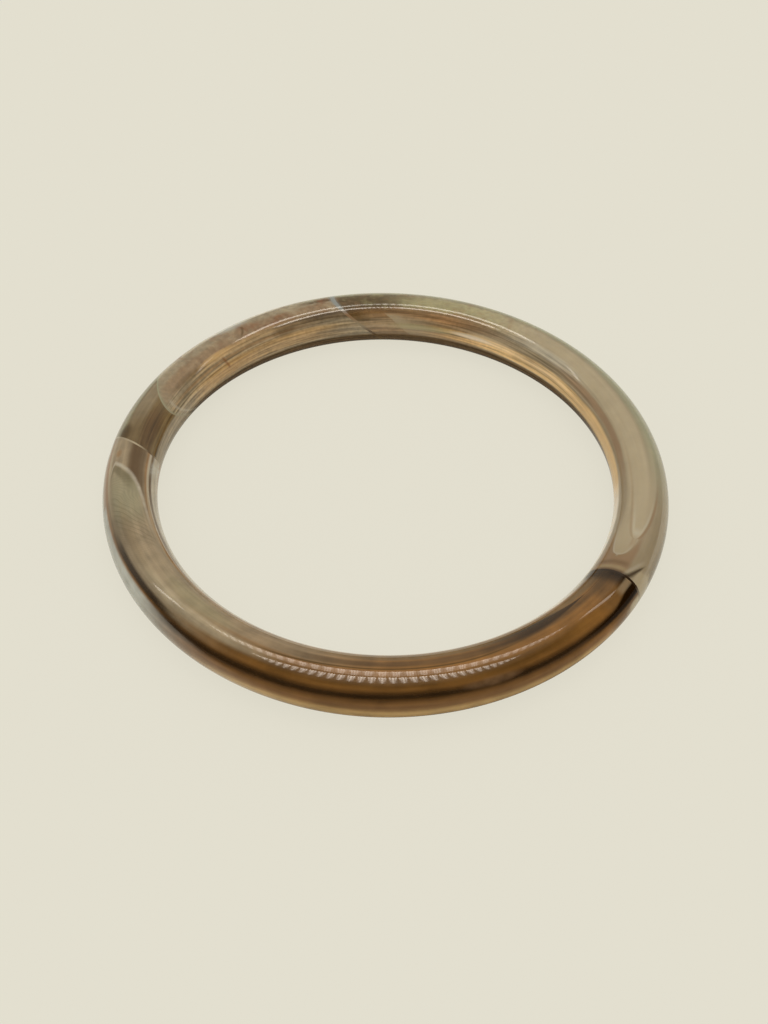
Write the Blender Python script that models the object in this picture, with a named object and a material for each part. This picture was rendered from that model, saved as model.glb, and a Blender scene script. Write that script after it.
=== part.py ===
"""A closed, rigid bangle bracelet in banded agate, to be run in Blender 4.5. Metres, +Z up.

The bangle is a round bar carried once round a circle. The origin is the centre of the circle, and the bangle
lies flat in the XY plane. Four thin mineral seams cross the bar, each on its own flat plane, and between the
seams lie four lengths of differently coloured stone. Every length and every seam is its own closed solid,
and neighbours share the plane where they meet. Nothing moves: a bangle of this kind slips over the hand.
"""

import math
from collections import namedtuple

import bmesh
import bpy
from mathutils import Matrix, Vector

# Driving dimensions
INNER_DIAMETER = 0.060
BAR_DIAMETER = 0.007
HAIRLINE = 0.0003  # thickness of the three fine seams, along the bar
MILKY_BAND = 0.0006  # thickness of the broad pale seam, along the bar

# Worked out from them
BAR_RADIUS = BAR_DIAMETER / 2
RING_RADIUS = INNER_DIAMETER / 2 + BAR_RADIUS

# Fineness of the mesh. With a multiple of four sides, the bar has a narrow flat at its top, bottom,
# inside and outside.
BAR_SIDES = 28
RING_STEP = math.radians(3)
SHARP_EDGE = math.radians(30)

# A seam crosses the bar's axis at `angle`, counter-clockwise from +X seen from above. `turn` is how far its
# outer side is carried ahead of its inner side, and `lean` how far its top is carried ahead of its bottom.
Seam = namedtuple("Seam", "name angle turn lean thickness")
# A length of stone runs counter-clockwise from the seam of that name to the next seam.
Stone = namedtuple("Stone", "name after")
# Linear colour, roughness and share of light let through.
Finish = namedtuple("Finish", "colour roughness clearness")

SEAMS = [
    Seam("milky_seam", math.radians(97.5), math.radians(18), math.radians(49), MILKY_BAND),
    Seam("grey_seam", math.radians(152), math.radians(-45), math.radians(50), HAIRLINE),
    Seam("rose_seam", math.radians(175), math.radians(-26), math.radians(18), HAIRLINE),
    Seam("umber_seam", math.radians(325), math.radians(12), math.radians(5), HAIRLINE),
]
STONES = [
    Stone("honey_stone", "milky_seam"),
    Stone("smoke_stone", "grey_seam"),
    Stone("amber_stone", "rose_seam"),
    Stone("taupe_stone", "umber_seam"),
]
FINISHES = {
    "honey_stone": Finish((0.27, 0.17, 0.08), 0.06, 0.3),
    "smoke_stone": Finish((0.22, 0.17, 0.11), 0.06, 0.3),
    "amber_stone": Finish((0.13, 0.065, 0.018), 0.05, 0.5),
    "taupe_stone": Finish((0.38, 0.31, 0.19), 0.06, 0.2),
    "milky_seam": Finish((0.42, 0.43, 0.40), 0.08, 0.2),
    "grey_seam": Finish((0.38, 0.33, 0.26), 0.08, 0.2),
    "rose_seam": Finish((0.48, 0.37, 0.29), 0.08, 0.2),
    "umber_seam": Finish((0.05, 0.035, 0.018), 0.06, 0.3),
}


def clear_scene():
    for old in list(bpy.data.objects):
        bpy.data.objects.remove(old)


def seam_angle(seam, across, up):
    """The angle where the seam's middle plane cuts one lengthwise line of the bar.

    The line is the circle that runs `across` outwards of the bar's axis and `up` above it. The plane holds
    the point of the axis at seam.angle, and all the points found this way lie on that one plane.
    """
    rise = up * math.tan(seam.lean) - RING_RADIUS * math.tan(seam.turn)
    return seam.angle + seam.turn + math.asin(math.cos(seam.turn) * rise / (RING_RADIUS + across))


def face_angle(seam, side, across, up):
    """The same for a face of the seam: side -1 is the face met first going round, and 1 the other."""
    return seam_angle(seam, across, up) + side * seam.thickness / 2 / RING_RADIUS


def on_ring(angle, across, up):
    out = RING_RADIUS + across
    return Vector((out * math.cos(angle), out * math.sin(angle), up))


def straight_bar(steps):
    """A capped bar of unit length along Z, with a ring of corners at every step of its length."""
    bar = bmesh.new()
    bmesh.ops.create_cone(
        bar,
        cap_ends=True,
        cap_tris=True,
        segments=BAR_SIDES,
        radius1=BAR_RADIUS / math.cos(math.pi / BAR_SIDES),
        radius2=BAR_RADIUS / math.cos(math.pi / BAR_SIDES),
        depth=1,
        matrix=Matrix.Rotation(math.pi / BAR_SIDES, 4, "Z"),
    )
    lengthwise = [edge for edge in bar.edges if abs(edge.verts[0].co.z - edge.verts[1].co.z) > 0.5]
    if steps > 1:
        bmesh.ops.subdivide_edges(bar, edges=lengthwise, cuts=steps - 1)
    return bar


def bend_between(bar, start, end):
    """Carries a straight bar round the ring. Start and end give an end's angle at a point of the section."""
    for corner in bar.verts:
        across, up, share = corner.co.x, corner.co.y, corner.co.z + 0.5
        angle = (1 - share) * start(across, up) + share * end(across, up)
        corner.co = on_ring(angle, across, up)
    # X, Y and Z of the straight bar become outwards, up and round. This mirrors it, so its faces turn over.
    bmesh.ops.reverse_faces(bar, faces=bar.faces)


def stone_material(name):
    finish = FINISHES[name]
    material = bpy.data.materials.new(name)
    material.use_nodes = True
    shader = material.node_tree.nodes["Principled BSDF"]
    shader.inputs["Base Color"].default_value = (*finish.colour, 1)
    shader.inputs["Roughness"].default_value = finish.roughness
    shader.inputs["Metallic"].default_value = 0
    shader.inputs["Transmission Weight"].default_value = finish.clearness
    material.diffuse_color = (*finish.colour, 1)
    return material


def add_solid(name, bar, collection):
    mesh = bpy.data.meshes.new(name)
    bar.to_mesh(mesh)
    bar.free()
    mesh.shade_smooth()
    mesh.set_sharp_from_angle(angle=SHARP_EDGE)
    mesh.materials.append(stone_material(name))
    solid = bpy.data.objects.new(name, mesh)
    collection.objects.link(solid)


def make_seam(seam, collection):
    bar = straight_bar(1)
    bend_between(
        bar,
        lambda across, up: face_angle(seam, -1, across, up),
        lambda across, up: face_angle(seam, 1, across, up),
    )
    add_solid(seam.name, bar, collection)


def make_stone(stone, collection):
    names = [seam.name for seam in SEAMS]
    place = names.index(stone.after)
    first, last = SEAMS[place], SEAMS[(place + 1) % len(SEAMS)]
    once_round = math.tau if last.angle < first.angle else 0
    steps = round((last.angle + once_round - first.angle) / RING_STEP)
    bar = straight_bar(steps)
    bend_between(
        bar,
        lambda across, up: face_angle(first, 1, across, up),
        lambda across, up: face_angle(last, -1, across, up) + once_round,
    )
    add_solid(stone.name, bar, collection)


def main():
    clear_scene()
    collection = bpy.data.collections.new("bangle_bracelet")
    bpy.context.scene.collection.children.link(collection)
    for seam in SEAMS:
        make_seam(seam, collection)
    for stone in STONES:
        make_stone(stone, collection)


main()
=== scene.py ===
"""The looks of a banded agate bangle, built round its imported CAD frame. Metres, +Z up."""

import math

import bmesh
import bpy
from mathutils import Matrix, Vector


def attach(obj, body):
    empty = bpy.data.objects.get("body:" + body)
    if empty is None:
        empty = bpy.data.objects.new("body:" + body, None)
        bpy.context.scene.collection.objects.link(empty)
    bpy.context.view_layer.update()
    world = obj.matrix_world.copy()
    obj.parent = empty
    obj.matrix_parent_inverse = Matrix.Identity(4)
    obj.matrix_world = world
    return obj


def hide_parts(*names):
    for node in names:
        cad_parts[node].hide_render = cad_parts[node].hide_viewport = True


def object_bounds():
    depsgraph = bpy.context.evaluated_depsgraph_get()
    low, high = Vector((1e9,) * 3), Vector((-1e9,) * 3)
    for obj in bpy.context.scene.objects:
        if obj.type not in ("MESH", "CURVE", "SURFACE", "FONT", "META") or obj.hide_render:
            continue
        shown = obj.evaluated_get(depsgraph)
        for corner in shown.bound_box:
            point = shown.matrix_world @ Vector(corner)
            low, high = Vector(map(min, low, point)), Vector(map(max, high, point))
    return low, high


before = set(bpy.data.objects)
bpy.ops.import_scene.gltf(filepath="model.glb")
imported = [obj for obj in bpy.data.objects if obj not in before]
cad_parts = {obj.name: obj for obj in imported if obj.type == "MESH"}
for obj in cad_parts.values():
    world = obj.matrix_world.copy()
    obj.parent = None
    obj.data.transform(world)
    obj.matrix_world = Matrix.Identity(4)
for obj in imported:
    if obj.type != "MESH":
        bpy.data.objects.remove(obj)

CAD_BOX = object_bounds()

# The ring, read from the frame.
LOWEST, HIGHEST = CAD_BOX
BAR_RADIUS = (HIGHEST.z - LOWEST.z) / 2
RING_RADIUS = (HIGHEST.y - LOWEST.y) / 2 - BAR_RADIUS
FLOOR_HEIGHT = LOWEST.z

# Fineness of the polished surface.
BAR_SIDES = 96
RING_STEP = math.radians(1)
SHARP_EDGE = math.radians(30)  # the rims at both ends of a length are sharp, and its sides are smooth

# Each seam's plane: where it crosses the bar's axis, how far its outer side is carried ahead of its inner
# side, how far its top is carried ahead of its bottom (degrees), and its thickness along the bar (metres).
SEAMS = {
    "milky_seam": (97.5, 18, 49, 0.0006),
    "grey_seam": (152, -45, 50, 0.0003),
    "rose_seam": (175, -26, 18, 0.0003),
    "umber_seam": (325, 12, 5, 0.0003),
}
# Each length of stone runs counter-clockwise from the first seam to the second.
STONES = {
    "honey_stone": ("milky_seam", "grey_seam"),
    "smoke_stone": ("grey_seam", "rose_seam"),
    "amber_stone": ("rose_seam", "umber_seam"),
    "taupe_stone": ("umber_seam", "milky_seam"),
}


# ---------------------------------------------------------------------------------------------- shapes


def face_angle(seam, side, across, up):
    """Angle where a seam's face meets the line `across` outwards of the bar's axis and `up` above it."""
    angle, turn, lean, thickness = SEAMS[seam]
    turn, lean = math.radians(turn), math.radians(lean)
    climb = up * math.tan(lean) - RING_RADIUS * math.tan(turn)
    middle = math.radians(angle) + turn + math.asin(math.cos(turn) * climb / (RING_RADIUS + across))
    return middle + side * thickness / 2 / RING_RADIUS


def bent_bar(name, start, end, steps):
    """A round capped bar bent along the ring, between the faces whose angles `start` and `end` give."""
    bar = bmesh.new()
    bmesh.ops.create_cone(
        bar, cap_ends=True, cap_tris=True, segments=BAR_SIDES, radius1=BAR_RADIUS, radius2=BAR_RADIUS, depth=1
    )
    lengthwise = [edge for edge in bar.edges if abs(edge.verts[0].co.z - edge.verts[1].co.z) > 0.5]
    if steps > 1:
        bmesh.ops.subdivide_edges(bar, edges=lengthwise, cuts=steps - 1)
    for corner in bar.verts:
        across, up, share = corner.co.x, corner.co.y, corner.co.z + 0.5
        angle = (1 - share) * start(across, up) + share * end(across, up)
        out = RING_RADIUS + across
        corner.co = Vector((out * math.cos(angle), out * math.sin(angle), up))
    bmesh.ops.reverse_faces(bar, faces=bar.faces)  # the bend mirrors the bar
    mesh = bpy.data.meshes.new(name)
    bar.to_mesh(mesh)
    bar.free()
    mesh.shade_smooth()
    mesh.set_sharp_from_angle(angle=SHARP_EDGE)
    piece = bpy.data.objects.new(name, mesh)
    bpy.context.scene.collection.objects.link(piece)
    return piece


def stone_shape(node):
    first, last = STONES[node]
    turns = 0 if SEAMS[last][0] > SEAMS[first][0] else 1
    length = math.radians(SEAMS[last][0] - SEAMS[first][0] + 360 * turns)
    return bent_bar(
        node.replace("stone", "length"),
        lambda across, up: face_angle(first, 1, across, up),
        lambda across, up: face_angle(last, -1, across, up) + math.tau * turns,
        round(length / RING_STEP),
    )


def seam_shape(node):
    return bent_bar(
        node.replace("seam", "film"),
        lambda across, up: face_angle(node, -1, across, up),
        lambda across, up: face_angle(node, 1, across, up),
        1,
    )


# ------------------------------------------------------------------------- arithmetic on shader sockets


class Num:
    """A value at each point of a surface, held as a node socket or a plain number, with arithmetic."""

    tree = None  # the node tree that new nodes go into

    def __init__(self, source):
        self.source = source.source if isinstance(source, Num) else source

    def __add__(self, other):
        return maths("ADD", self, other)

    def __sub__(self, other):
        return maths("SUBTRACT", self, other)

    def __mul__(self, other):
        return maths("MULTIPLY", self, other)

    def __truediv__(self, other):
        return maths("DIVIDE", self, other)

    def __rsub__(self, other):
        return maths("SUBTRACT", other, self)

    __radd__ = __add__
    __rmul__ = __mul__


def feed(socket, value):
    value = value.source if isinstance(value, Num) else value
    if isinstance(value, bpy.types.NodeSocket):
        Num.tree.links.new(value, socket)
    else:
        socket.default_value = value


def maths(operation, *values):
    node = Num.tree.nodes.new("ShaderNodeMath")
    node.operation = operation
    for socket, value in zip(node.inputs, values):
        feed(socket, value)
    return Num(node.outputs[0])


def rise(value, low, high):
    """0 below low, 1 above high, and smooth between. It falls instead where low is above high."""
    node = Num.tree.nodes.new("ShaderNodeMapRange")
    node.interpolation_type = "SMOOTHSTEP"
    for name, part in (("Value", value), ("From Min", low), ("From Max", high)):
        feed(node.inputs[name], part)
    return Num(node.outputs[0])


def ridge(value, width):
    """1 where value is 0, falling smoothly to 0 at width to either side."""
    return rise(maths("ABSOLUTE", value), width, 0.0)


def between(value, low, high, soft):
    return rise(value, low - soft, low + soft) * rise(value, high + soft, high - soft)


def vector(x, y, z):
    node = Num.tree.nodes.new("ShaderNodeCombineXYZ")
    for socket, value in zip(node.inputs, (x, y, z)):
        feed(socket, value)
    return node.outputs[0]


def noise(place, scale, detail=2.0, roughness=0.5, distortion=0.0):
    """Smooth noise from -1 to 1."""
    node = Num.tree.nodes.new("ShaderNodeTexNoise")
    feed(node.inputs["Vector"], place)
    for name, value in (
        ("Scale", scale),
        ("Detail", detail),
        ("Roughness", roughness),
        ("Distortion", distortion),
    ):
        feed(node.inputs[name], value)
    return Num(node.outputs["Fac"]) * 2.0 - 1.0


def tone(name):
    """A linear colour from its name in the palette, or from a six-digit sRGB code."""
    code = PALETTE.get(name, name)
    parts = [int(code[i : i + 2], 16) / 255 for i in (0, 2, 4)]
    return (*[p / 12.92 if p <= 0.04045 else ((p + 0.055) / 1.055) ** 2.4 for p in parts], 1.0)


def blend(share, first, second):
    """The first colour where share is 0 and the second where it is 1."""
    node = Num.tree.nodes.new("ShaderNodeMix")
    node.data_type = "RGBA"
    feed(node.inputs[0], share)
    for socket, colour in ((node.inputs[6], first), (node.inputs[7], second)):
        feed(socket, tone(colour) if isinstance(colour, str) else colour)
    return node.outputs[2]


def shade(colour, by):
    """A colour made brighter or darker: multiplied by `by`."""
    node = Num.tree.nodes.new("ShaderNodeVectorMath")
    node.operation = "SCALE"
    feed(node.inputs[0], tone(colour)[:3] if isinstance(colour, str) else colour)
    feed(node.inputs["Scale"], by)
    return node.outputs[0]


def ramp(value, stops):
    """A colour that runs through stops, a list of (position, colour), as value runs over them."""
    low, high = stops[0][0], stops[-1][0]
    node = Num.tree.nodes.new("ShaderNodeValToRGB")
    feed(node.inputs[0], (value - low) / (high - low))
    points = node.color_ramp.elements
    while len(points) < len(stops):
        points.new(0.5)
    for point, (position, _) in zip(points, stops):
        point.position = (position - low) / (high - low)
    for point, (_, name) in zip(points, stops):
        point.color = tone(name)
    return node.outputs[0]


# --------------------------------------------------------------------------------------- agate materials

MILLIMETRES = 1000  # in a metre
POLISH = 0.025  # the roughness of the surface
AGATE_IOR = 1.54
DEPTH = BAR_RADIUS / 5  # how far light spreads under the surface
DEPTH_BY_COLOUR = (1.0, 0.7, 0.4)  # and how that differs between red, green and blue

# The colours of the stone, roughly from dark to pale.
PALETTE = {
    "ink": "1c0e02",
    "bark": "2c1e10",
    "peat": "44300e",
    "umber": "543e24",
    "moss": "5c5236",
    "walnut": "6c5838",
    "chestnut": "74482a",
    "ochre": "80582a",
    "tan": "846444",
    "taupe": "8c7c60",
    "mist": "84847a",
    "sage": "8c8868",
    "khaki": "9c9468",
    "oat": "a49474",
    "honey": "b08850",
    "putty": "b2a890",
    "cloud": "b8b8a8",
    "gold": "c8a46c",
    "wheat": "d8bc90",
    "cream": "dcd0b8",
}

# The main bands of each length of stone, and some bands of painted light and shade (marked where they stand),
# in the order they are laid over its ground colour. Each has the angles along the ring between which it runs,
# those round the bar (0 outside, 90 on top, 180 inside), how softly it ends along and across the bar, how
# strong it is and its colour.
TAUPE_BANDS = [
    ((-5, 120), (-30, 76), (14, 12), 0.9, "sage"),
    ((-50, -14), (-30, 22), (8, 8), 0.6, "moss"),
    ((-24, 70), (82, 128), (14, 6), 0.9, "oat"),
    ((-50, -27), (76, 140), (4, 6), 0.5, "walnut"),
    ((34, 54), (116, 136), (8, 5), 0.6, "putty"),
    ((60, 90), (80, 130), (10, 6), 0.6, "khaki"),
    ((60, 90), (116, 146), (10, 5), 0.6, "tan"),
    ((-2, 36), (131, 145), (8, 3), 0.6, "tan"),
    # painted light: the next two bands are the glow of light come through the stone, on the inner lower side
    ((-12, 76), (154, 184), (8, 4), 0.9, "gold"),
    ((-50, -8), (152, 180), (8, 4), 0.9, "cream"),
    ((34, 62), (155, 168), (8, 4), 0.5, "wheat"),
    ((86, 120), (76, 134), (8, 5), 0.8, "peat"),
    ((66, 120), (120, 190), (10, 6), 0.5, "ochre"),
    ((80, 120), (146, 168), (8, 5), 0.5, "taupe"),
    # painted shade on the lower inner side, towards the floor
    ((-50, 120), (188, 222), (5, 5), 0.9, "umber"),
]
HONEY_BANDS = [
    ((90, 160), (-35, 66), (5, 10), 0.9, "oat"),
    ((119, 139), (5, 66), (6, 6), 0.8, "cream"),
    ((90, 114), (56, 76), (4, 5), 0.6, "sage"),
    ((90, 112), (77, 87), (4, 3), 0.8, "peat"),
    ((90, 160), (92, 124), (5, 6), 0.5, "tan"),
    ((90, 118), (119, 138), (6, 4), 0.7, "umber"),
    ((118, 148), (118, 136), (8, 5), 0.4, "honey"),
    ((112, 160), (138, 145), (8, 3), 0.5, "ochre"),
    ((104, 152), (149, 184), (8, 5), 0.5, "honey"),
    # painted shade on the lower inner side, towards the floor
    ((90, 160), (189, 222), (5, 5), 0.9, "umber"),
]
SMOKE_BANDS = [
    ((145, 190), (-40, 40), (5, 9), 0.9, "putty"),
    ((145, 190), (44, 62), (5, 6), 0.6, "sage"),
    ((145, 168), (66, 98), (6, 6), 0.6, "taupe"),
    ((166, 190), (104, 133), (5, 6), 0.8, "umber"),
    ((145, 190), (145, 151), (5, 2), 0.5, "umber"),
    ((145, 190), (154, 225), (5, 5), 0.8, "taupe"),
]
AMBER_BANDS = [
    ((165, 234), (44, 130), (12, 6), 0.9, "taupe"),
    ((165, 226), (-40, 36), (12, 5), 0.9, "cloud"),
    ((165, 190), (90, 116), (4, 6), 0.7, "umber"),
    # painted shade: the start of the dark band, standing for the shadowed floor seen through the stone
    ((204, 226), (41, 55), (6, 4), 0.9, "bark"),
    # painted light: the next two bands are the lit floor seen through the lower outer side
    ((236, 316), (-30, 6), (8, 8), 0.9, "gold"),
    ((228, 318), (4, 20), (8, 8), 0.6, "tan"),
    # painted shade: the dark band along the outside, standing for the shadowed floor seen through the stone
    ((222, 335), (26, 44), (6, 9), 0.95, "bark"),
    ((240, 315), (52, 72), (8, 6), 0.4, "peat"),
    # painted highlight: a side lamp's soft reflection
    ((216, 246), (62, 84), (8, 6), 0.7, "oat"),
    # painted reflection of the pale overhead on the top
    ((222, 262), (88, 130), (10, 6), 0.7, "taupe"),
    ((252, 335), (92, 106), (8, 4), 0.7, "umber"),
    ((258, 335), (110, 129), (10, 4), 0.7, "walnut"),
    # painted reflection: the next two bands are the pale rim along the inner edge
    ((165, 335), (135, 172), (8, 4), 0.9, "putty"),
    ((250, 318), (138, 158), (8, 4), 0.6, "cream"),
    ((165, 214), (140, 147), (8, 3), 0.8, "umber"),
    ((165, 196), (150, 172), (6, 5), 0.6, "taupe"),
    ((165, 335), (180, 225), (8, 8), 0.7, "oat"),
    ((318, 335), (0, 140), (2, 6), 0.6, "umber"),
]


class Place:
    """Where a point of the surface lies.

    `round` is its angle along the ring and `down` its angle round the bar, in degrees. `down` is 0 on the
    outside, 90 on top and 180 on the inside. `bar` holds the distances outwards, upwards and along the bar in
    millimetres, for noise that runs with the bar.
    """

    def __init__(self, middle):
        point = Num.tree.nodes.new("ShaderNodeTexCoord").outputs["Object"]
        split = Num.tree.nodes.new("ShaderNodeSeparateXYZ")
        feed(split.inputs[0], point)
        x, y, z = (Num(socket) for socket in split.outputs)
        cos, sin = math.cos(math.radians(middle)), math.sin(math.radians(middle))
        turned = maths("ARCTAN2", y * cos - x * sin, x * cos + y * sin)
        self.across = maths("SQRT", x * x + y * y) - RING_RADIUS
        self.up = z
        self.round = turned * math.degrees(1) + middle
        outwards = self.across * 0.5 + self.up * math.sqrt(0.75)
        upwards = self.up * 0.5 - self.across * math.sqrt(0.75)
        self.down = maths("ARCTAN2", upwards, outwards) * math.degrees(1) + 60  # from -120 to 240
        along = self.round * (math.radians(1) * RING_RADIUS * MILLIMETRES)
        self.bar = vector(self.across * MILLIMETRES, self.up * MILLIMETRES, along)

    def clouds(self, scale, **settings):
        return noise(self.bar, scale, **settings)

    def streaks(self, scale, stretch, **settings):
        """Noise in streaks that run along the bar, stretch times as long as they are wide."""
        node = Num.tree.nodes.new("ShaderNodeVectorMath")
        node.operation = "MULTIPLY"
        feed(node.inputs[0], self.bar)
        node.inputs[1].default_value = (1, 1, 1 / stretch)
        return noise(node.outputs[0], scale, **settings)

    def grain(self, strength):
        """A brightness near 1, for the faint clouds and streaks that run through every length of stone."""
        return 1 + (self.clouds(0.5, detail=3.0) + self.streaks(2.2, 16, detail=3.0)) * strength

    def ahead_of(self, seam):
        """Degrees along the ring from the seam's middle plane, positive counter-clockwise of it."""
        angle, turn, lean, _ = SEAMS[seam]
        climb = self.up * math.tan(math.radians(lean)) - RING_RADIUS * math.tan(math.radians(turn))
        sine = climb * math.cos(math.radians(turn)) / (self.across + RING_RADIUS)
        return self.round - angle - turn - maths("ARCSINE", sine) * math.degrees(1)

    def banding(self, ground, bands, warp):
        """One of the tables of bands above, laid over a ground colour. The underside is darkened to plain
        walnut: painted shade.
        """
        colour = tone(ground)
        for along, across, (end, side), strength, name in bands:
            share = between(self.round + warp, *along, end) * between(self.down + warp, *across, side)
            colour = blend(share * strength, colour, name)
        # Painted shade: the underside is darkened to walnut.
        below = maths("MAXIMUM", rise(self.down, -30, -60), rise(self.down, 215, 240))
        return blend(below, colour, "walnut")

    def spot(self, angle, down, length, height):
        """1 at that place, falling smoothly to 0 at the edge of an oval of those half sizes."""
        along = (self.round - angle) / length
        across = (self.down - down) / height
        return rise(along * along + across * across, 1.0, 0.0)


def new_agate(name, middle):
    """Starts a material and returns it with the place of its points, for what follows to build on."""
    material = bpy.data.materials.new(name)
    material.use_nodes = True
    Num.tree = material.node_tree
    return material, Place(middle)


def finish_agate(material, colour, clearness=0.0, softness=0.0):
    shader = material.node_tree.nodes["Principled BSDF"]
    feed(shader.inputs["Base Color"], colour)
    feed(shader.inputs["Transmission Weight"], clearness)
    shader.inputs["Roughness"].default_value = POLISH
    shader.inputs["IOR"].default_value = AGATE_IOR
    shader.inputs["Subsurface Weight"].default_value = softness
    shader.inputs["Subsurface Radius"].default_value = DEPTH_BY_COLOUR
    shader.inputs["Subsurface Scale"].default_value = DEPTH
    return material


def lobe(along, across, above, below, blunt):
    """A rounded lobe that opens towards positive `along`: 0 on its edge, more inside and less outside."""
    opened = 1 - maths("EXPONENT", maths("MAXIMUM", along, 0) / -blunt)
    share = maths("MAXIMUM", across / above, across / -below)
    return maths("MINIMUM", maths("SQRT", opened) - share, along / blunt)


def taupe_material():
    material, at = new_agate("taupe_agate", 35)
    wander = at.streaks(0.5, 4, detail=3.0)
    colour = shade(at.banding("taupe", TAUPE_BANDS, wander * 4), at.grain(rise(at.down, 40, 0) * 0.2 + 0.12))
    angle = at.round + wander * 0.5

    # Two nested lobes point to the umber seam, with brown stone between them and the seam.
    after = at.ahead_of("umber_seam") + 360
    outer = lobe(angle + 29.7, at.down - 108, 29, 32, 6)
    inner = lobe(angle + 24, at.down - 90, 31, 30, 14)
    fading = rise(angle, 20, -16)
    around = rise(outer, 0.1, -0.2) * between(at.down, 74, 142, 5)
    colour = blend(around * rise(angle, -20, -27) * 0.6, colour, "tan")
    colour = blend(ridge(after - 2.9, 1.2) * between(at.down, 78, 140, 8) * 0.45, colour, "umber")
    colour = blend(ridge(after - 1.4, 0.9) * between(at.down, 74, 130, 10) * 0.25, colour, "khaki")
    colour = blend(rise(after, 1.2, 0.1) * between(at.down, 66, 147, 5) * 0.8, colour, "bark")
    filling = rise(outer, -0.1, 0.15) * rise(angle, -12, -25)
    colour = blend(filling * between(at.down, 76, 136, 8) * 0.6, colour, "oat")
    outer_line = ridge(outer - 0.02, 0.12) * rise(angle, -10, -22)
    colour = blend(outer_line * between(at.down, 88, 132, 8) * 0.35, colour, "putty")
    inner_line = ridge(inner + 0.06, 0.16) * rise(angle, -4, -16)
    colour = blend(inner_line * rise(at.down, 90, 82) * 0.6, colour, "tan")
    colour = blend(ridge(inner + 0.08, 0.16) * fading * rise(at.down, 84, 94) * 0.3, colour, "tan")
    colour = blend(rise(inner, -0.06, 0.16) * fading * 0.6, colour, "oat")
    colour = blend(ridge(inner - 0.12, 0.14) * rise(angle, -10, -22) * 0.5, colour, "putty")

    # Below them, a pale tongue reaches over the outside from the seam, under a dark crease.
    bulge = maths("POWER", maths("ABSOLUTE", (at.down - 22) / 30), 2) * 2
    tongue = angle + 29 + bulge + at.clouds(0.6) * 1.5
    pale = rise(tongue, 0.9, -0.9) * rise(at.down, 60, 48)
    colour = blend(pale * rise(at.down, -30, 12) * 0.8, colour, "oat")
    dusky = between(at.down, -60, 32, 4) * rise(tongue, -0.7, 0.7)
    colour = blend(dusky * rise(tongue, 14, 4) * 0.5, colour, "walnut")
    crease = at.down - 63 + (angle + 33) * 4
    # A pale streak above the crease: painted highlight.
    colour = blend(ridge(crease - 9, 7) * between(angle, -33.3, -28.5, 1.5) * 0.3, colour, "putty")
    narrow = rise(angle, -28, -34) * 7 + 2.5
    colour = blend(ridge(crease, narrow) * between(angle, -36, -29.2, 1.2) * 0.85, colour, "bark")

    # The far end is mottled and streaked along the bar.
    far = rise(at.round, 36, 66)
    mottled = at.clouds(0.55, detail=3.0) * far * rise(at.down, 135, 115)
    colour = blend(rise(mottled, 0.0, 0.5) * 0.45, colour, "tan")
    colour = blend(rise(mottled, 0.0, -0.5) * 0.45, colour, "khaki")
    colour = shade(colour, 1 + at.clouds(1.6, detail=3.0) * far * 0.3)
    fine = at.streaks(3.6, 30, detail=3.0) * between(at.down, 122, 205, 12) * rise(at.round, 10, 45)
    colour = shade(colour, 1 + fine * 1.2)
    colour = blend(at.spot(60, 156, 9, 8) * 0.5, colour, "wheat")
    colour = blend(at.spot(66, 163, 8, 7) * 0.6, colour, "cream")
    wedge = angle + at.clouds(1.2) * 0.8 + (at.down - 138) * 0.13
    wedge_end = rise(wedge, 91, 90.3)
    colour = blend(wedge_end * rise(wedge, 76, 89) * between(at.down, 136, 186, 6) * 0.4, colour, "oat")
    colour = blend(wedge_end * rise(wedge, 86, 89) * between(at.down, 137, 160, 6) * 0.5, colour, "oat")
    colour = blend(between(at.down, 158, 171, 4) * between(angle, 72, 88, 4) * 0.5, colour, "khaki")
    before = at.ahead_of("milky_seam")
    colour = blend(rise(before, -7, -2) * between(at.down, 121, 150, 6) * 0.55, colour, "peat")
    colour = blend(rise(before, -1.4, 0) * between(at.down, -60, 122, 10) * 0.7, colour, "mist")
    return finish_agate(material, colour, softness=0.25)


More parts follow.
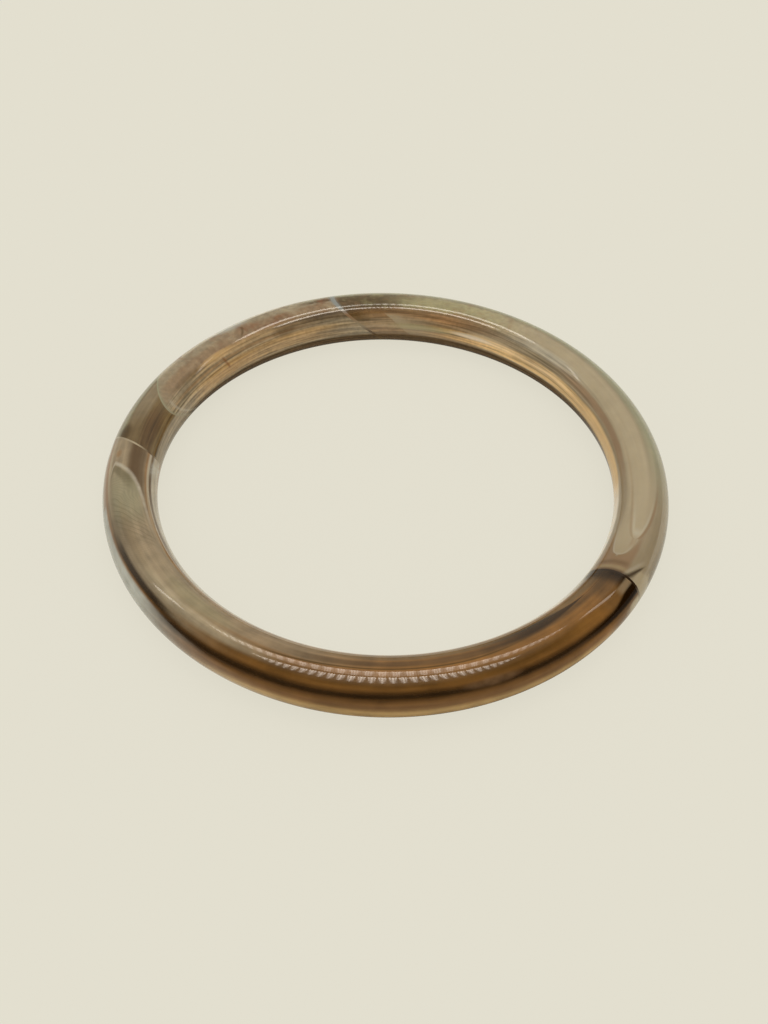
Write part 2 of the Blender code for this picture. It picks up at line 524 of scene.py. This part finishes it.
def honey_material():
    material, at = new_agate("honey_agate", 130)
    wander = at.streaks(0.5, 4, detail=3.0)
    colour = at.banding("taupe", HONEY_BANDS, wander * 4)
    mottled = at.clouds(0.45, detail=2.0, distortion=0.5) * between(at.down, 30, 122, 6)
    mottled = mottled * rise(at.round, 154, 146)
    colour = blend(rise(mottled, 0.0, 0.5) * 0.7, colour, "chestnut")
    colour = blend(rise(mottled, 0.0, -0.45) * 0.6, colour, "oat")
    colour = shade(colour, 1 + at.clouds(1.6, detail=3.0) * 0.35)
    fine = at.streaks(3.6, 30, detail=3.0) * between(at.down, 122, 205, 8)
    colour = shade(colour, 1 + fine * 1.3)
    colour = blend(at.spot(139, 165, 12, 20) * 0.35, colour, "honey")
    colour = blend(at.spot(152.5, 120, 7, 12) * 0.3, colour, "peat")
    colour = blend(at.spot(131, 62, 7, 26) * 0.5, colour, "cloud")
    colour = blend(at.spot(119.5, 136, 4.5, 24) * 0.5, colour, "umber")
    # painted highlight: a soft pale spot where a side lamp's reflection falls
    colour = blend(at.spot(141, 122, 7, 9) * 0.5, colour, "gold")
    curl = at.round - 129.6 - maths("POWER", maths("MAXIMUM", (at.down - 86) / 26, 0), 2) * 1.6
    colour = blend(ridge(curl, 0.7) * between(at.down, 86, 112, 4) * 0.7, colour, "umber")
    hairline = ridge(at.round - 139 + (at.down - 150) * 0.03, 0.7)
    colour = blend(hairline * between(at.down, 134, 164, 5) * 0.6, colour, "chestnut")
    after = at.ahead_of("milky_seam")
    colour = blend(rise(after, 1.4, 0) * between(at.down, -60, 116, 10) * 0.7, colour, "mist")
    echo = at.ahead_of("grey_seam") + 2.4
    colour = blend(ridge(echo, 0.8) * between(at.down, 125, 205, 10) * 0.4, colour, "putty")
    colour = blend(rise(at.ahead_of("grey_seam"), -1.6, 0) * 0.3, colour, "sage")
    return finish_agate(material, colour, softness=0.2)


def smoke_material():
    material, at = new_agate("smoke_agate", 168)
    wander = at.streaks(0.5, 4, detail=3.0)
    colour = shade(at.banding("walnut", SMOKE_BANDS, wander * 3), at.grain(0.3))
    colour = blend(at.spot(174, 66, 4, 19) * 0.9, colour, "peat")
    colour = blend(at.spot(170, 119, 8, 26) * 0.7, colour, "umber")
    fine = at.streaks(3.6, 30, detail=3.0) * between(at.down, 100, 205, 8)
    colour = shade(colour, 1 + fine * 0.8)
    return finish_agate(material, colour, softness=0.2)


def amber_material():
    material, at = new_agate("amber_agate", 250)
    wander = at.streaks(0.45, 6, detail=3.0)
    colour = shade(at.banding("ochre", AMBER_BANDS, wander * 3), at.grain(0.35))
    angle = at.round + wander * 0.25

    # A feathered lobe at the clockwise end, with a soft pale outline that climbs over the top of the bar.
    curl = maths("POWER", maths("MAXIMUM", (64 - at.down) / 12, 0), 2) * 5
    climb = maths("EXPONENT", (182.8 + curl - angle) / 4.7) * 70
    edge = at.down - 128 + climb
    within = rise(edge, 0, -5) * between(at.down, 56, 118, 8)
    around = rise(edge, 1, 5) * between(at.down, 96, 127, 5)
    colour = blend(around * rise(angle, 201, 190) * 0.75, colour, "umber")
    colour = blend(within * between(angle, 186, 200, 5) * 0.5, colour, "sage")
    colour = blend(between(edge, -28, -8, 5) * within * rise(angle, 193, 187) * 0.6, colour, "moss")
    lean = (at.down - 60) * rise(angle, 188, 196) * 0.12 + at.clouds(0.35) * 1.2
    feather = maths("SINE", (angle - lean) * 9.5) * between(angle, 187, 213, 3)
    colour = shade(colour, 1 + feather * within * 0.045)
    barbs = rise(maths("SINE", (angle - lean) * 3.9), 0.2, 1) * between(angle - lean, 193, 203, 2)
    colour = blend(barbs * within * 0.28, colour, "moss")
    outline = ridge(edge, 6 + climb * 0.1) * between(at.down, 54, 130, 5) * rise(angle, 212, 190)
    colour = blend(outline * (0.6 + at.clouds(0.8) * 0.6), colour, "putty")
    colour = blend(at.spot(180.3, 67, 1.5, 9) * 0.5, colour, "ochre")
    colour = blend(ridge(at.down - 50, 5) * between(angle, 182, 197, 2) * 0.5, colour, "oat")
    stub = between(angle, 179, 194 - (at.down - 34) * 0.06, 1)
    colour = blend(between(at.down, 26, 45, 2.5) * stub * 0.8, colour, "tan")

    # Long lines on the inner side of that end.
    tail = (angle - 184) * -0.3
    colour = blend(ridge(at.down - 137 - tail, 3.5) * between(angle, 180, 212, 4) * 0.6, colour, "oat")
    colour = blend(ridge(at.down - 146.5 - tail, 4) * between(angle, 182, 222, 5) * 0.7, colour, "umber")
    colour = blend(at.spot(205, 77, 13, 14) * 0.3, colour, "walnut")
    colour = blend(at.spot(229, 100, 13, 22) * 0.25, colour, "khaki")
    colour = blend(at.spot(290, 40, 7, 11) * (0.45 + at.clouds(0.9) * 0.6), colour, "tan")
    fan = maths("ABSOLUTE", angle - 184 - (at.down - 140) * -0.08)
    fan_mark = ridge(fan, 3.5) * between(at.down, 141, 178, 5)
    colour = blend(fan_mark * (0.3 + at.clouds(1.5) * 0.6), colour, "cloud")

    # A dark flame on top towards the umber seam, and the dark end of the long band of painted shade under it.
    height = maths("MAXIMUM", rise(angle, 318, 302) * 14, 0.3)
    flame = between(at.down, 107 - height * 0.75, 107 + height, height * 0.4)
    colour = blend(flame * rise(angle, 284, 302) * 0.9, colour, "bark")
    # A dark line near 88 degrees round the bar: painted shade at the edge of the overhead reflection on the
    # top.
    painted_reflection_edge = at.down - 88 + rise(angle, 264, 246) * 4 - rise(angle, 284, 306) * 8
    colour = blend(ridge(painted_reflection_edge, 3) * between(angle, 246, 298, 8) * 0.8, colour, "peat")
    seam = at.ahead_of("umber_seam")
    colour = blend(rise(seam, -4.4, -1.4) * between(at.down, 66, 147, 3) * 0.9, colour, "bark")
    colour = blend(between(at.down, 66, 98, 6) * rise(seam, -1.8, -0.4) * 0.8, colour, "ink")
    # The dark band's end near the seam: painted shade.
    cap = between(at.down, 27, 40 + rise(angle, 317, 325) * 14, 4)
    colour = blend(cap * rise(angle, 305, 318), colour, "ink")
    colour = blend(between(at.down, 52, 67, 3) * rise(seam, -5, -3) * 0.5, colour, "taupe")
    tip = angle - 322.6 - maths("POWER", maths("ABSOLUTE", at.down / 30), 2) * 0.8 + at.clouds(0.6) * 1.5
    colour = blend(rise(at.down, 24, 15) * rise(at.down, -30, 12) * rise(tip, -1.2, 1.2), colour, "oat")
    clear = between(at.down, -80, 70, 10) * rise(maths("ABSOLUTE", angle - 250), 68, 50)
    return finish_agate(material, colour, clearness=clear * 0.25, softness=0.1)


# The colours of each seam on the way round the bar. The walnut on the underside at both ends is painted
# shade, as on the stones, and so is the milky seam's umber on the lower inner side.
FILM_COLOURS = {
    "milky_seam": [
        (-60, "mist"),
        (116, "mist"),
        (134, "tan"),
        (160, "taupe"),
        (180, "umber"),
        (240, "walnut"),
    ],
    "grey_seam": [
        (-60, "walnut"),
        (0, "putty"),
        (60, "sage"),
        (200, "taupe"),
        (240, "walnut"),
    ],
    "rose_seam": [
        (-60, "walnut"),
        (0, "putty"),
        (60, "taupe"),
        (100, "oat"),
        (132, "umber"),
        (165, "taupe"),
        (240, "walnut"),
    ],
    "umber_seam": [
        (-60, "walnut"),
        (10, "taupe"),
        (40, "bark"),
        (142, "bark"),
        (156, "taupe"),
        (240, "walnut"),
    ],
}


def film_material(node):
    material, at = new_agate(node.replace("seam", "mineral"), SEAMS[node][0])
    colour = ramp(at.down + at.clouds(1.0, detail=3.0) * 4, FILM_COLOURS[node])
    return finish_agate(material, shade(colour, 1 + at.clouds(2.0, detail=3.0) * 0.1))


# ------------------------------------------------------------------------------------------------ stage

BACKDROP = "e3dfcf"
FLOOR_SIZE = 4.0
FLOOR_GLOW = 0.9  # the brightness that doesn't depend on the light falling on the floor
FLOOR_PAINT = 0.09  # and that which does
DARK_SIDE = (0.26, -0.966)  # the level direction, in front of the bangle, from which little light comes
DARKENED = 0.85  # how much of the floor's light is kept out of its mirror image there and under the far half: painted shade
FRONT_EDGE = (0.024, 0.036)  # how far ahead of the middle the floor's image darkens
UNDER_BAR = (-0.0055, 0)  # the painted contact shadow under the far half, measured outwards from the bar's axis
ROOM_BEHIND = "b0aca0"
ROOM_IN_FRONT = "0c0a08"


def stage_nodes(owner):
    """Points Num at the owner's nodes. Returns them, and 1 for a reflected or refracted ray."""
    owner.use_nodes = True
    Num.tree = owner.node_tree
    path = owner.node_tree.nodes.new("ShaderNodeLightPath")
    mirrored = maths("MAXIMUM", Num(path.outputs["Is Glossy Ray"]), Num(path.outputs["Is Transmission Ray"]))
    return owner.node_tree.nodes, mirrored


def make_floor():
    bpy.ops.mesh.primitive_plane_add(size=FLOOR_SIZE, location=(0, 0, FLOOR_HEIGHT))
    floor = bpy.context.object
    floor.name = "floor"
    material = bpy.data.materials.new("pale_floor")
    nodes, mirrored = stage_nodes(material)
    split = nodes.new("ShaderNodeSeparateXYZ")
    feed(split.inputs[0], nodes.new("ShaderNodeTexCoord").outputs["Object"])
    x, y = Num(split.outputs[0]), Num(split.outputs[1])
    # In reflections the floor's image is darkened ahead of the ring and under its far half: painted shade and
    # a painted contact shadow.
    front = rise(x * DARK_SIDE[0] + y * DARK_SIDE[1], *FRONT_EDGE) * DARKENED
    across = maths("SQRT", x * x + y * y) - RING_RADIUS
    under = between(across, *UNDER_BAR, 0.0006) * rise(y, 0.0, 0.02) * DARKENED
    seen = 1 - mirrored * maths("MAXIMUM", front, under)
    shader = nodes["Principled BSDF"]
    shader.inputs["Roughness"].default_value = 0.9
    shader.inputs["Specular IOR Level"].default_value = 0.0
    feed(shader.inputs["Base Color"], shade(BACKDROP, seen * FLOOR_PAINT))
    feed(shader.inputs["Emission Color"], tone(BACKDROP))
    feed(shader.inputs["Emission Strength"], seen * FLOOR_GLOW)
    floor.data.materials.append(material)


def make_world():
    """White light all round, behind a pale backdrop. In reflections the side in front is dark."""
    world = bpy.data.worlds.new("soft_studio")
    bpy.context.scene.world = world
    nodes, mirrored = stage_nodes(world)
    split = nodes.new("ShaderNodeSeparateXYZ")
    feed(split.inputs[0], nodes.new("ShaderNodeTexCoord").outputs["Generated"])
    x, y, z = (Num(socket) for socket in split.outputs)
    level = maths("SQRT", maths("MAXIMUM", 1 - z * z, 0.0001))
    ahead = (x * DARK_SIDE[0] + y * DARK_SIDE[1]) / level
    room = blend(rise(ahead, -0.5, -0.1) * rise(z, 0.93, 0.75), ROOM_BEHIND, ROOM_IN_FRONT)
    path = Num.tree.nodes["Light Path"]
    light = blend(Num(path.outputs["Is Camera Ray"]), "fafafd", BACKDROP)
    feed(nodes["Background"].inputs["Color"], blend(mirrored, light, room))


# Rows of small lamps overhead, seen only in reflections, and their faint images in the walls at both sides.
# Each row has how far it reaches along X, how far along Y as the near half of the ring mirrors it, how much
# more the nearer its middle, how far along Y as the far half mirrors it, the spacing of the lamps, the strips
# in each lamp, the glow between the lamps, and the strength.
LAMP_HEIGHT = 0.9
LAMP_FAN = 1.4  # how fast the lamps draw together towards the far end
LAMP_COLOUR = (1.0, 0.91, 0.80, 1)
LAMP_ROWS = [
    ((-0.38, 0.41), (-0.02, 0.29), 1.2, (0.13, 0.23), 0.0338, 5, 0.4, 10),
    ((-0.41, 0.44), (-0.44, -0.08), 0.7, (-0.14, -0.05), 0.0242, 3, 0.1, 12),
    ((-0.9, -0.56), (0.2, 0.27), 0.0, (0.26, 0.32), 9.0, 0, 1, 5),
    ((0.54, 0.9), (0.2, 0.28), 0.0, (0.26, 0.32), 9.0, 0, 1, 4),
]
GAP_SPACING = 0.013  # of the gaps that break the middle of the rows, as the far half mirrors them
GAP_MIDDLE = 0.02
SOFT_END = 0.01


def make_lamp_rows():
    bpy.ops.mesh.primitive_plane_add(size=2, location=(0, 0, FLOOR_HEIGHT + LAMP_HEIGHT))
    rows = bpy.context.object
    rows.name = "lamp_rows"
    material = bpy.data.materials.new("lamp_rows")
    nodes, _ = stage_nodes(material)
    point = nodes.new("ShaderNodeSeparateXYZ")
    back = nodes.new("ShaderNodeSeparateXYZ")
    feed(point.inputs[0], nodes.new("ShaderNodeTexCoord").outputs["Object"])
    feed(back.inputs[0], nodes.new("ShaderNodeNewGeometry").outputs["Incoming"])
    x, y = Num(point.outputs[0]), Num(point.outputs[1])
    mirrored_at = y + Num(back.outputs[1]) * Num(nodes["Light Path"].outputs["Ray Length"])
    near = rise(mirrored_at, 0.004, -0.004)
    fan = x * maths("EXPONENT", y * LAMP_FAN)
    gaps = rise(maths("COSINE", x * (math.tau / GAP_SPACING)), 0.2, 0.7)
    gaps = gaps * rise(maths("ABSOLUTE", x - GAP_MIDDLE), 0.06, 0.03)
    total = 0
    for across, near_reach, bow, far_reach, spacing, strips, haze, strength in LAMP_ROWS:
        low, high = near_reach[0] + x * x * bow, near_reach[1]
        share = (y - low) / (high - low)
        turn = fan * (math.tau / spacing)
        lamp = rise(maths("COSINE", turn) + share, 0.05, 0.5) * (1 - haze) + haze
        lamp = lamp * (0.65 + maths("COSINE", turn * strips) * 0.35) * (1 - x * x * bow * 2.5)
        on_near = between(y, low, high, SOFT_END) * lamp * (0.45 + share * 0.55)
        on_far = between(y, *far_reach, SOFT_END) * (0.65 - gaps * 0.55)
        total = (on_near * near + on_far * (1 - near)) * between(x, *across, SOFT_END) * strength + total
    glow = nodes.new("ShaderNodeEmission")
    clear = nodes.new("ShaderNodeBsdfTransparent")
    both = nodes.new("ShaderNodeAddShader")
    feed(glow.inputs["Strength"], total)
    feed(glow.inputs["Color"], LAMP_COLOUR)
    feed(both.inputs[0], glow.outputs[0])
    feed(both.inputs[1], clear.outputs[0])
    feed(nodes["Material Output"].inputs["Surface"], both.outputs[0])
    material.cycles.emission_sampling = "NONE"
    rows.data.materials.append(material)
    rows.visible_camera = False
    rows.visible_diffuse = False
    rows.visible_shadow = False


SOFTBOX_LENGTH = 0.9
SOFTBOX_WIDTH = 0.5
SOFTBOX_PLACE = (0, 0.1, 0.9)
SOFTBOX_WATTS = 1.5


def make_softbox():
    lamp = bpy.data.lights.new("softbox", "AREA")
    lamp.shape = "RECTANGLE"
    lamp.size = SOFTBOX_LENGTH
    lamp.size_y = SOFTBOX_WIDTH
    lamp.energy = SOFTBOX_WATTS
    softbox = bpy.data.objects.new("softbox", lamp)
    softbox.location = SOFTBOX_PLACE
    softbox.visible_glossy = False
    bpy.context.scene.collection.objects.link(softbox)


CAMERA_DISTANCE = 4.644 * RING_RADIUS
CAMERA_ELEVATION = math.radians(45.7)
CAMERA_TARGET = Vector((-0.0052, -0.2020, 0)) * RING_RADIUS
CAMERA_ROLL = math.radians(0.948)
CAMERA_LENS = 41.25


def make_camera():
    data = bpy.data.cameras.new("camera")
    data.lens = CAMERA_LENS
    data.clip_start = 0.001
    camera = bpy.data.objects.new("camera", data)
    bpy.context.scene.collection.objects.link(camera)
    camera.location = CAMERA_DISTANCE * Vector((0, -math.cos(CAMERA_ELEVATION), math.sin(CAMERA_ELEVATION)))
    forward = CAMERA_TARGET - camera.location
    camera.rotation_mode = "QUATERNION"
    upright = forward.to_track_quat("-Z", "Y")
    camera.rotation_quaternion = upright @ Matrix.Rotation(CAMERA_ROLL, 3, "Z").to_quaternion()
    bpy.context.scene.camera = camera


# ------------------------------------------------------------------------------------------- the object

STONE_MATERIALS = {
    "taupe_stone": taupe_material,
    "honey_stone": honey_material,
    "smoke_stone": smoke_material,
    "amber_stone": amber_material,
}


def place(piece, node, material):
    piece.data.materials.clear()
    piece.data.materials.append(material)
    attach(piece, "root")
    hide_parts(node)


for node in STONES:
    place(stone_shape(node), node, STONE_MATERIALS[node]())
for node in SEAMS:
    place(seam_shape(node), node, film_material(node))
make_floor()
make_world()
make_lamp_rows()
make_softbox()
make_camera()
bpy.context.scene.view_settings.view_transform = "Standard"
